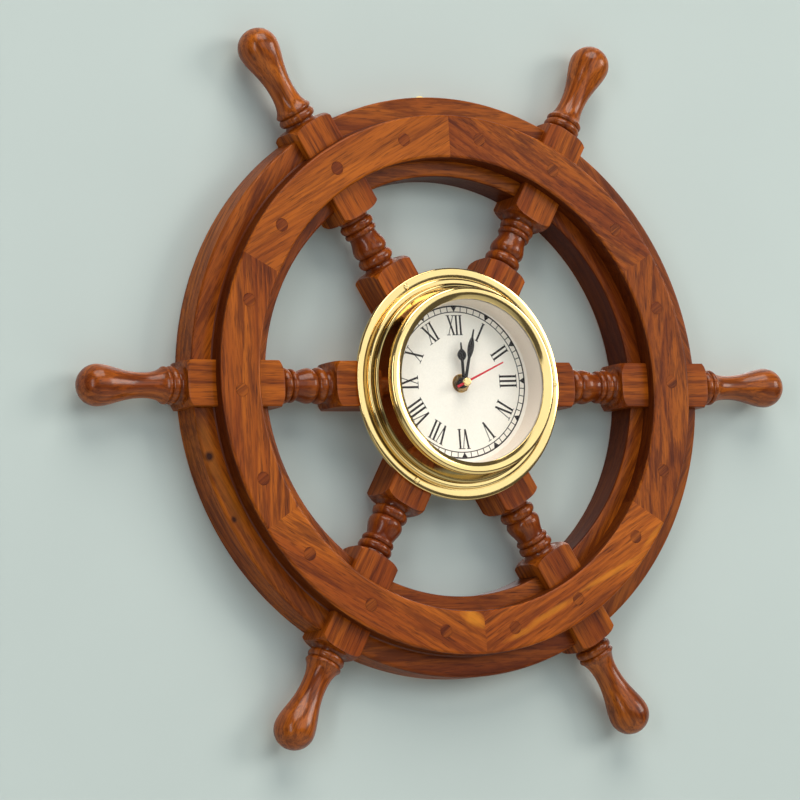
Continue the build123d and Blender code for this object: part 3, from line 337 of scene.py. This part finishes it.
# %% Varnish
SATIN_ROUGHNESS, FIBRE_ROUGHNESS = 0.3, 0.25
PORE_BUMP, PORE_DEPTH = 0.25, 0.0002


def varnish(tree, output, colour, fibre, coat, coat_roughness):
    """Satin varnish over the wood, sunk a little into the pores."""
    roughness = maths(tree, "MULTIPLY_ADD", fibre, FIBRE_ROUGHNESS, SATIN_ROUGHNESS)
    bump = node(tree, "Bump", {
        "Strength": PORE_BUMP, "Distance": PORE_DEPTH, "Height": fibre}, invert=True)
    wood = node(tree, "BsdfPrincipled", {
        "Base Color": colour, "Roughness": roughness, "Specular IOR Level": 0.06,
        "Normal": bump.outputs[0],
        "Coat Weight": coat, "Coat Roughness": coat_roughness, "Coat IOR": 1.5,
    })
    tree.links.new(wood.outputs[0], output.inputs["Surface"])


print("pores sunk by up to", PORE_DEPTH / MM, "mm")

# %% [markdown]
# ## Flat boards
# The felloes, the hub and the plugs are flat pieces. Some boards hold a little pale sapwood or a knot,
# which an ellipse with a torn edge can stand for. The curved sides of the rings are painted darker
# from a known radius on: painted shade, for sides that the light hardly reaches.

# %% Sapwood, knots and painted shade on the ring sides
# painted shade: the colour that darkens the rings' curved sides
SIDE_SHADE_COLOUR = shade(58, 18, 6)
SIDE_SHADE_SOFT = 0.0003
SIDE_SHADE_SHARE = 0.75
PATCH_TEAR = 0.7
BOARD_GLOSS, BOARD_COAT_ROUGHNESS = 0.15, 0.2


def blotch(tree, along, centre, reach, turn):
    """A patch with a soft, grain-torn edge: 1 inside an ellipse on the board and 0 outside.

    centre and reach are in mm along and across the board, turn is in degrees.
    """
    tear = node(tree, "TexNoise", {"Vector": along, "Scale": 160.0, "Detail": 3.0}).outputs["Fac"]
    square = node(tree, "Mapping", {
        "Vector": along,
        "Location": (centre[0] * MM, 0, centre[1] * MM),
        "Rotation": (0, radians(-turn), 0),
        "Scale": (reach[0] * MM, 1, reach[1] * MM),
    }, vector_type="TEXTURE").outputs["Vector"]
    flat = node(tree, "VectorMath", {0: square, 1: (1, 0, 1)}, operation="MULTIPLY").outputs[0]
    distance = node(tree, "VectorMath", {0: flat}, operation="LENGTH").outputs["Value"]
    torn = maths(tree, "MULTIPLY_ADD", tear, PATCH_TEAR, distance)
    return node(tree, "MapRange", {
        "Value": torn, "From Min": 1.0 + PATCH_TEAR, "From Max": 1.0 - 0.2 * PATCH_TEAR,
    }, clamp=True).outputs[0]


def painted_side_shade(tree, place, inner, outer):
    """Painted shade mask: 1 on the curved sides of a ring, at its inner and outer radius, 0 between."""
    flat = node(tree, "VectorMath", {0: place, 1: (1, 0, 1)}, operation="MULTIPLY").outputs[0]
    radius = node(tree, "VectorMath", {0: flat}, operation="LENGTH").outputs["Value"]
    within = node(tree, "MapRange", {
        "Value": radius, "From Min": inner + SIDE_SHADE_SOFT, "From Max": inner}, clamp=True).outputs[0]
    beyond = node(tree, "MapRange", {
        "Value": radius, "From Min": outer - SIDE_SHADE_SOFT, "From Max": outer}, clamp=True).outputs[0]
    return maths(tree, "MAXIMUM", within, beyond)


def board_wood(name, turn, middle, seed, tone, streaks, tilt=0.0, patches=(), edges=None):
    """Wood of a flat piece whose grain is turned by an angle about Y.

    middle is how far the piece lies from the wheel's axis across the grain. tone runs from dark (0) to
    light (1), streaks says how strong the dark figure is and tilt how steeply the saw cut the rings.
    patches are sapwood or knots: colour, strength, centre and reach along and across the board, turn.
    edges are the radii of a ring's curved sides, which get painted shade, darker than its faces.
    """
    material, tree, output = new_material(name)
    place = node(tree, "TexCoord").outputs["Object"]
    level = node(tree, "Mapping", {
        "Vector": place, "Rotation": (0, turn, 0), "Location": (0, 0, middle)}).outputs["Vector"]
    along = node(tree, "Mapping", {"Vector": level, "Rotation": (0, 0, tilt)}).outputs["Vector"]
    colour, fibre = wood_figure(tree, along, seed, tone, streaks)
    for patch_colour, strength, centre, reach, patch_turn in patches:
        cover = blotch(tree, level, centre, reach, patch_turn)
        colour = mix(tree, maths(tree, "MULTIPLY", cover, strength), colour, patch_colour)
    if edges:
        # painted shade on the rings' curved sides, which the light hardly reaches
        side = maths(tree, "MULTIPLY", painted_side_shade(tree, place, *edges), SIDE_SHADE_SHARE)
        colour = mix(tree, side, colour, SIDE_SHADE_COLOUR)
    varnish(tree, output, colour, fibre, BOARD_GLOSS, BOARD_COAT_ROUGHNESS)
    return material


# the printed share is the painted shade on the rings' curved sides
print("painted shade covers", SIDE_SHADE_SHARE, "of the wood on the rings' curved sides")

# %% [markdown]
# ## Turned spokes
# A spoke is one stick: square blocks where it passes the rings and the hub, and turned vases, beads and
# a handle between them. The turned stretches are stained darker, and darker still where the spoke is
# thin, in its grooves; they were polished on the lathe, so colour and gloss change along the spoke. Its
# own X, from the wheel's axis outwards, says where.

# %% Turned wood
AXIS_DEPTH = 0.017
BLOCK_GLOSS, TURNED_GLOSS = (0.12, 0.12, 0.12, 1), (0.52, 0.52, 0.52, 1)
TURNED_COAT_ROUGHNESS = 0.18
GROOVE_TOP, GROOVE_FLOOR = 0.0136, 0.0108
SPOKE_REACH = 0.32
STAIN_SOFT, HANDLE_SOFT = 0.004, 0.01
# stain over the turned stretches, and how much darker they get where the spoke is thin
STAIN_BASE, DARKER_IN_GROOVES = 0.25, 0.5
VASE_FROM, VASE_TO = 0.1034 / SPOKE_REACH, 0.1472 / SPOKE_REACH
HANDLE_FROM, HANDLE_BARE = 0.2258 / SPOKE_REACH, 0.238 / SPOKE_REACH


def spoke_wood(name, turn, seed, tone, streaks):
    """Wood of a spoke: the turned stretches are stained darker, and darker still in their grooves."""
    material, tree, output = new_material(name)
    place = node(tree, "TexCoord").outputs["Object"]
    along = node(tree, "Mapping", {
        "Vector": place, "Rotation": (0, turn, 0), "Location": (0, AXIS_DEPTH, 0)}).outputs["Vector"]
    colour, fibre = wood_figure(tree, along, seed, tone, streaks)
    across = node(tree, "VectorMath", {0: along, 1: (0, 1, 1)}, operation="MULTIPLY").outputs[0]
    radius = node(tree, "VectorMath", {0: across}, operation="LENGTH").outputs["Value"]
    groove = node(tree, "MapRange", {
        "Value": radius, "From Min": GROOVE_TOP, "From Max": GROOVE_FLOOR}, clamp=True).outputs[0]
    reach = maths(tree, "DIVIDE", node(tree, "SeparateXYZ", {0: along}).outputs["X"], SPOKE_REACH)
    stained = ramp(tree, reach, [
        (VASE_FROM - STAIN_SOFT, BLACK), (VASE_FROM, WHITE),
        (VASE_TO, WHITE), (VASE_TO + STAIN_SOFT, BLACK),
        (HANDLE_FROM - STAIN_SOFT, BLACK), (HANDLE_FROM, WHITE),
        (HANDLE_BARE, WHITE), (HANDLE_BARE + HANDLE_SOFT, BLACK)])
    # darker where the spoke is thin, in its grooves and necks
    grooved = maths(tree, "MULTIPLY_ADD", groove, DARKER_IN_GROOVES, STAIN_BASE)
    colour = mix(tree, maths(tree, "MULTIPLY", stained, grooved), colour, STAIN)
    gloss = ramp(tree, reach, [
        (VASE_FROM - STAIN_SOFT, BLOCK_GLOSS), (VASE_FROM, TURNED_GLOSS),
        (VASE_TO, TURNED_GLOSS), (VASE_TO + STAIN_SOFT, BLOCK_GLOSS),
        (HANDLE_FROM - STAIN_SOFT, BLOCK_GLOSS), (HANDLE_FROM, TURNED_GLOSS)])
    varnish(tree, output, colour, fibre, gloss, TURNED_COAT_ROUGHNESS)
    return material


def finish_node(name, material):
    """Put one material on a construction piece."""
    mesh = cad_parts[name].data
    mesh.materials.clear()
    mesh.materials.append(material)
    for polygon in mesh.polygons:
        polygon.material_index = 0


print("handles start", round(HANDLE_FROM * SPOKE_REACH / MM, 1), "mm from the wheel's axis")

# %% Wood on the wheel
SPOKE_COUNT = 6
SPOKE_STEP = 2 * pi / SPOKE_COUNT
FRONT_MIDDLE, BACK_MIDDLE = 0.187, 0.189
# radii of the rings' curved sides, which get painted shade
FRONT_SHADED_SIDES, BACK_SHADED_SIDES = (0.1708, 0.2033), (0.159, 0.25)
FRONT_SEED, BACK_SEED = 11, 21
SPOKE_STREAKS, BACK_STREAKS = 0.5, 0.5
BACK_TILT = radians(3)
spoke_tones = (0.7, 0.85, 0.95, 0.8, 0.85, 0.7)
front_tones = (0.45, 0.6, 0.75, 0.8, 0.95, 1.0)
front_streaks = (0.7, 0.55, 0.1, 0.6, 0.4, 0.35)
front_tilts = (5, 6, 1, 2, 3, 2)
back_tones = (0.4, 0.5, 0.7, 0.65, 0.45, 0.35)
KNOT = shade(40, 14, 6)
front_patches = {
    5: [(SAP_WOOD, 0.6, (86, 33), (10, 5), 3)],
    6: [
        (SAP_WOOD, 0.45, (-31, 4), (22, 2.4), -4),
        (SAP_WOOD, 0.35, (-62, 5), (14, 2.2), -8),
        (SAP_WOOD, 0.45, (31, 1), (31, 2.0), -5),
        (SAP_WOOD, 0.35, (81, 5), (13, 2.0), 15),
    ],
}
back_patches = {
    4: [
        (SAP_WOOD, 0.17, (-64, -15), (22, 5.5), -16),
        (SAP_WOOD, 0.14, (-28, -20), (26, 5.5), -3),
        (KNOT, 0.95, (-58.4, -18), (3.6, 3.2), 0),
        (KNOT, 0.9, (-10, -26), (2.4, 2.0), 0),
    ],
}
for number in range(SPOKE_COUNT):
    angle = number * SPOKE_STEP
    piece = number + 1
    finish_node(f"spoke_{piece}", spoke_wood(
        f"spoke_wood_{piece}", angle, piece, spoke_tones[number], SPOKE_STREAKS))
    finish_node(f"front_felloe_{piece}", board_wood(
        f"front_wood_{piece}", angle + pi / 2, FRONT_MIDDLE, number + FRONT_SEED,
        front_tones[number], front_streaks[number], radians(front_tilts[number]),
        front_patches.get(piece, ()), FRONT_SHADED_SIDES))
    finish_node(f"back_felloe_{piece}", board_wood(
        f"back_wood_{piece}", angle + (pi + SPOKE_STEP) / 2, BACK_MIDDLE, number + BACK_SEED,
        back_tones[number], BACK_STREAKS, BACK_TILT,
        back_patches.get(piece, ()), BACK_SHADED_SIDES))
finish_node("hub", board_wood("hub_wood", turn=0, middle=0, seed=31, tone=0.4, streaks=0.5))
finish_node("felloe_plugs", board_wood(
    "plug_wood", turn=radians(35), middle=0, seed=33, tone=0.4, streaks=0.7))
print("wood on", 3 * SPOKE_COUNT + 2, "pieces")

# %% [markdown]
# ## Polished brass
# The case is spun and polished brass under clear lacquer. It is nearly a mirror, so what it shows is
# the room: the colour is only a warm tint, with very fine turning marks in the roughness. A mirror
# also shows every flat of a coarse mesh, so the three large rings are spun again here, finely, from
# nearly the same profiles: a few corners are swept round the axis, then the corners that are rounded
# on the real rings are bevelled. The band between them leans a little, so that it mirrors the wooden
# rim, and its brass colour is painted darker: painted shade for the dark room such a band mirrors.

# %% Brass finish
BRASS = shade(248, 216, 146)
# painted shade: the band's brass colour is cut to this share
BAND_PAINTED_SHADE = 0.5
BRASS_ROUGHNESS = 0.05


def polished_brass(name, colour, roughness):
    """Metal with faint turning marks."""
    material, tree, output = new_material(name)
    place = node(tree, "TexCoord").outputs["Object"]
    wear = node(tree, "TexNoise", {"Vector": place, "Scale": 60.0, "Detail": 3.0}).outputs["Fac"]
    spread = maths(tree, "MULTIPLY_ADD", wear, 0.10, roughness)
    tint = ramp(tree, wear, [(0.3, dimmed(colour, 0.93)), (0.7, colour)])
    brass = node(tree, "BsdfPrincipled", {"Base Color": tint, "Metallic": 1.0, "Roughness": spread})
    tree.links.new(brass.outputs[0], output.inputs["Surface"])
    return material


case_brass = polished_brass("case_brass", BRASS, BRASS_ROUGHNESS)
# painted shade: the band's brass is dimmed for the dark room it would mirror
painted_shade_band_brass = polished_brass("painted_shade_band_brass", dimmed(BRASS, BAND_PAINTED_SHADE), BRASS_ROUGHNESS)
for name in ("flange_screws", "hanger_plate", "hanger_screws", "seconds_cap"):
    finish_node(name, case_brass)
finish_node("dial_nut", polished_brass("nut_brass", shade(120, 96, 60), 0.3))
finish_node("dial_washer", polished_brass("washer_brass", shade(190, 150, 84), 0.25))
print("brass on six small pieces")

# %% Spun rings
SPIN_STEPS = 240
ROUND_STEPS = 8
SHARP_ANGLE = radians(34)
SAME_SPOT = 1e-5


def on_circle(edge, spot):
    """Whether both ends of an edge lie at a (radius, depth) spot of the spun profile."""
    ends = [Vector((Vector((v.co.x, v.co.z)).length, v.co.y)) for v in edge.verts]
    return all((end - spot).length < SAME_SPOT for end in ends)


def spun_ring(name, corners, material):
    """A closed ring about the Y axis from (radius, depth, rounding) corners in mm."""
    bm = bmesh.new()
    outline = [bm.verts.new((radius * MM, depth * MM, 0)) for radius, depth, _ in corners]
    for start, end in zip(outline, outline[1:] + outline[:1]):
        bm.edges.new((start, end))
    bmesh.ops.spin(
        bm, geom=bm.verts[:] + bm.edges[:], cent=(0, 0, 0), axis=(0, 1, 0), angle=2 * pi,
        steps=SPIN_STEPS, use_merge=True)
    bmesh.ops.recalc_face_normals(bm, faces=bm.faces)
    for radius, depth, rounding in corners:
        if rounding:
            spot = Vector((radius, depth)) * MM
            loop = [edge for edge in bm.edges if on_circle(edge, spot)]
            bmesh.ops.bevel(
                bm, geom=loop, offset=rounding * MM, offset_type="OFFSET", affect="EDGES",
                segments=ROUND_STEPS, profile=0.5, material=-1)
    for face in bm.faces:
        face.smooth = True
    ring = mesh_object(name, bm, material)
    ring.data.set_sharp_from_angle(angle=SHARP_ANGLE)
    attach(ring, "wheel")
    return ring


flange = spun_ring("spun_flange", [
    (56.0, -34.0, 0), (87.7, -34.0, 0), (87.7, -36.3, 1.1), (84.6, -37.0, 2.4), (80.2, -36.4, 0.15),
    (80.2, -35.9, 0), (79.6, -35.9, 0), (79.6, -38.4, 1.9), (75.6, -38.4, 0.2), (75.6, -36.4, 0),
    (56.0, -36.4, 0)], case_brass)
band = spun_ring("spun_band", [
    (69.0, -36.4, 0), (75.4, -36.4, 0), (75.4, -42.4, 2.2), (73.1, -42.4, 0), (69.3, -52.5, 0),
    (69.0, -52.5, 0)], painted_shade_band_brass)
rim = spun_ring("spun_bezel", [
    (61.4, -56.5, 0.3), (61.4, -55.6, 0), (67.3, -55.6, 0), (67.3, -47.0, 0), (68.9, -47.0, 0),
    (68.9, -52.5, 0), (70.7, -52.5, 0.15), (70.7, -57.7, 2.4), (66.0, -58.0, 2.0)], case_brass)
for ring, part_name in ((flange, "clock_flange"), (band, "case_band"), (rim, "bezel")):
    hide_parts(part_name)
    print(ring.name, len(ring.data.polygons), "faces in place of", part_name)

# %% [markdown]
# ## Dial, hands and glass
# The dial is a white-painted disc under a pane of glass. Lamps must reach it through the pane, and
# only once, so the glass turns clear for shadow rays and for diffuse rays. The hands are painted
# metal, and the movement behind the dial is moulded plastic with a few metal pieces.

# %% Plain finishes
GLASS_IOR = 1.2
GLASS_TINT = (0.97, 0.98, 0.97, 1)


def plain_finish(name, colour, roughness, metallic=0.0, gloss=0.3):
    """Paint or plastic with a fine grain in its colour, roughness and surface."""
    material, tree, output = new_material(name)
    place = node(tree, "TexCoord").outputs["Object"]
    speckle = node(tree, "TexNoise", {"Vector": place, "Scale": 900.0, "Detail": 2.0}).outputs["Fac"]
    tint = ramp(tree, speckle, [(0.3, dimmed(colour, 0.94)), (0.7, colour)])
    spread = maths(tree, "MULTIPLY_ADD", speckle, 0.12, roughness)
    bump = node(tree, "Bump", {"Strength": 0.2, "Distance": 0.00004, "Height": speckle})
    paint = node(tree, "BsdfPrincipled", {
        "Base Color": tint, "Roughness": spread, "Metallic": metallic, "Specular IOR Level": gloss,
        "Normal": bump.outputs[0]})
    tree.links.new(paint.outputs[0], output.inputs["Surface"])
    return material


def clear_glass(name):
    """Clear glass that lets light through to what lies under it."""
    material, tree, output = new_material(name)
    pane = node(tree, "BsdfPrincipled", {
        "Base Color": WHITE, "Roughness": 0.0, "IOR": GLASS_IOR, "Transmission Weight": 1.0})
    clear = node(tree, "BsdfTransparent", {"Color": GLASS_TINT})
    path = node(tree, "LightPath").outputs
    passing = maths(tree, "MAXIMUM", path["Is Shadow Ray"], path["Is Diffuse Ray"])
    surface = node(tree, "MixShader", {0: passing, 1: pane.outputs[0], 2: clear.outputs[0]})
    tree.links.new(surface.outputs[0], output.inputs["Surface"])
    return material


finish_node("glass", clear_glass("dial_glass"))
finish_node("dial", plain_finish("dial_white", shade(253, 245, 233), 0.6))
finish_node("dial_ring", plain_finish("ring_white", shade(240, 224, 208), 0.5))
black_paint = plain_finish("hand_black", shade(30, 26, 24), 0.5, gloss=0.15)
for name in ("hour_hand", "minute_hand"):
    finish_node(name, black_paint)
finish_node("seconds_hand", plain_finish("hand_red", shade(200, 30, 46), 0.5, gloss=0.15))
black_plastic = plain_finish("movement_black", shade(34, 34, 36), 0.5)
for name in ("movement_case", "movement_cover", "setting_knob"):
    finish_node(name, black_plastic)
gear_plastic = plain_finish("gear_natural", shade(222, 216, 204), 0.45)
for name in (
        "gear_plate", "seconds_wheel", "third_wheel", "intermediate_wheel", "centre_wheel",
        "hour_wheel", "motion_wheel"):
    finish_node(name, gear_plastic)
steel = plain_finish("plain_steel", shade(170, 170, 172), 0.3, 1.0)
for name in ("felloe_screws", "battery_contacts", "rotor", "stator"):
    finish_node(name, steel)
finish_node("minute_arbor", polished_brass("arbor_brass", shade(200, 160, 90), 0.25))
finish_node("coil", plain_finish("coil_copper", shade(176, 96, 56), 0.35, 1.0))
finish_node("circuit_board", plain_finish("board_green", shade(36, 92, 58), 0.5))
finish_node("battery", plain_finish("battery_sleeve", shade(92, 98, 106), 0.35))
finish_node("rubber_washer", plain_finish("washer_rubber", shade(32, 32, 32), 0.8))
print("finishes on", len(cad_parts), "pieces")

# %% [markdown]
# ## Pooled varnish
# Varnish runs into the corner where the front ring lies on the back one and dries there as a thin
# bead. It is a ring with a three-cornered section, so it is spun like the brass.

# %% Varnish in the corner
VARNISH_BEAD = ((203.4, -26.9, 0), (204.5, -26.9, 0), (203.4, -28.0, 0))
pooled_varnish = plain_finish("pooled_varnish", shade(92, 38, 12), 0.26, gloss=0.25)
corner_bead = spun_ring("corner_bead", VARNISH_BEAD, pooled_varnish)
print("varnish bead of", len(corner_bead.data.polygons), "faces between the two rings")

# %% [markdown]
# ## Printed dial
# The dial is printed in one dark ink: a railway track of minutes with a wedge at each hour, and
# Roman numerals that stand with their feet to the middle. Print has next to no thickness, so each
# stroke is one flat face a hair in front of the paint. A numeral is only a few slanted bars: thick
# ones leaning down to the right, thin ones leaning back, and short serifs across their ends.

# %% Ink strokes
DIAL_FRONT = -37.2
INK_LIFT = 0.05
NUMERAL_FOOT, NUMERAL_TOP = 35.6, 50.2
THICK, THIN, SERIF_HEIGHT, SERIF_WIDTH = 1.6, 0.65, 0.55, 3.1
TRACK_INNER, TRACK_OUTER = 52.9, 57.3
PRINT_SHIFT = (-1.2 * MM, 0, 1.0 * MM)
PRINT_TURN = radians(-1.3)
PRINT_PLACE = Matrix.Translation(PRINT_SHIFT) @ Matrix.Rotation(PRINT_TURN, 4, "Y")


def stroke(bm, turn, low, high, width):
    """A bar with level ends from one (across, out) point to another in mm, turned clockwise."""
    lean, rise = (high[0] - low[0]) / 2, (high[1] - low[1]) / 2
    bar = Matrix((
        (width / 2, lean, 0, (low[0] + high[0]) / 2),
        (0, 0, -1, DIAL_FRONT - INK_LIFT),
        (0, rise, 0, (low[1] + high[1]) / 2),
        (0, 0, 0, 1),
    ))
    place = Matrix.Rotation(turn, 4, "Y") @ Matrix.Scale(MM, 4) @ bar
    bmesh.ops.create_grid(bm, x_segments=1, y_segments=1, size=1, matrix=place)


def serif(bm, turn, across, out):
    """A short level bar across the end of a stroke."""
    stroke(bm, turn, (across, out - SERIF_HEIGHT / 2), (across, out + SERIF_HEIGHT / 2), SERIF_WIDTH)


print("numerals stand from", NUMERAL_FOOT, "to", NUMERAL_TOP, "mm from the dial's middle")

# %% Numerals
NUMERALS = ("XII", "I", "II", "III", "IV", "V", "VI", "VII", "VIII", "IX", "X", "XI")
LETTER_WIDTHS = {"I": 3.5, "V": 6.3, "X": 6.3}
LETTER_LEAN = 2.3
HOUR_DEGREES = 30


def letter(bm, turn, kind, middle):
    """One Roman letter that stands on the numeral circle."""
    left, right = middle - LETTER_LEAN, middle + LETTER_LEAN
    foot, top = NUMERAL_FOOT, NUMERAL_TOP
    if kind == "I":
        bars = [((middle, foot), (middle, top), THICK)]
        ends = [(middle, foot), (middle, top)]
    elif kind == "V":
        bars = [((middle, foot), (left, top), THICK), ((middle, foot), (right, top), THIN)]
        ends = [(left, top), (right, top)]
    else:
        bars = [((right, foot), (left, top), THICK), ((left, foot), (right, top), THIN)]
        ends = [(left, foot), (right, foot), (left, top), (right, top)]
    for low, high, width in bars:
        stroke(bm, turn, low, high, width)
    for across, out in ends:
        serif(bm, turn, across, out)


dial_print = bmesh.new()
for hour, numeral in enumerate(NUMERALS):
    across = -sum(LETTER_WIDTHS[kind] for kind in numeral) / 2
    for kind in numeral:
        letter(dial_print, radians(HOUR_DEGREES * hour), kind, across + LETTER_WIDTHS[kind] / 2)
        across += LETTER_WIDTHS[kind]
print(len(dial_print.faces), "strokes in twelve numerals")

# %% Minute track
TRACK_LINES = ((TRACK_OUTER, 1.1), (TRACK_INNER, 0.7))
TICK_WIDTH = 0.65
WEDGE_WIDTH = 5.3
TRACK_STEPS = 180
MINUTE_DEGREES = 6
for radius, line in TRACK_LINES:
    ends = [dial_print.verts.new(((radius + side * line / 2) * MM, (DIAL_FRONT - INK_LIFT) * MM, 0))
            for side in (-1, 1)]
    edge = dial_print.edges.new(ends)
    bmesh.ops.spin(
        dial_print, geom=ends + [edge], cent=(0, 0, 0), axis=(0, 1, 0), angle=2 * pi,
        steps=TRACK_STEPS, use_merge=True)
for minute in range(60):
    turn = radians(MINUTE_DEGREES * minute)
    if minute % 5:
        stroke(dial_print, turn, (0, TRACK_INNER), (0, TRACK_OUTER), TICK_WIDTH)
    else:
        place = Matrix.Rotation(turn, 4, "Y") @ Matrix.Scale(MM, 4)
        wedge = [(0, TRACK_INNER), (WEDGE_WIDTH / 2, TRACK_OUTER), (-WEDGE_WIDTH / 2, TRACK_OUTER)]
        corners = [place @ Vector((across, DIAL_FRONT - INK_LIFT, out)) for across, out in wedge]
        dial_print.faces.new([dial_print.verts.new(corner) for corner in corners])
bmesh.ops.transform(dial_print, matrix=PRINT_PLACE, verts=dial_print.verts)
dial_print.normal_update()
bmesh.ops.reverse_faces(dial_print, faces=[face for face in dial_print.faces if face.normal.y > 0])
dial_ink = plain_finish("dial_ink", shade(44, 36, 34), 0.6, gloss=0.1)
ink = mesh_object("dial_print", dial_print, dial_ink)
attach(ink, "wheel")
print("dial print of", len(ink.data.polygons), "faces")
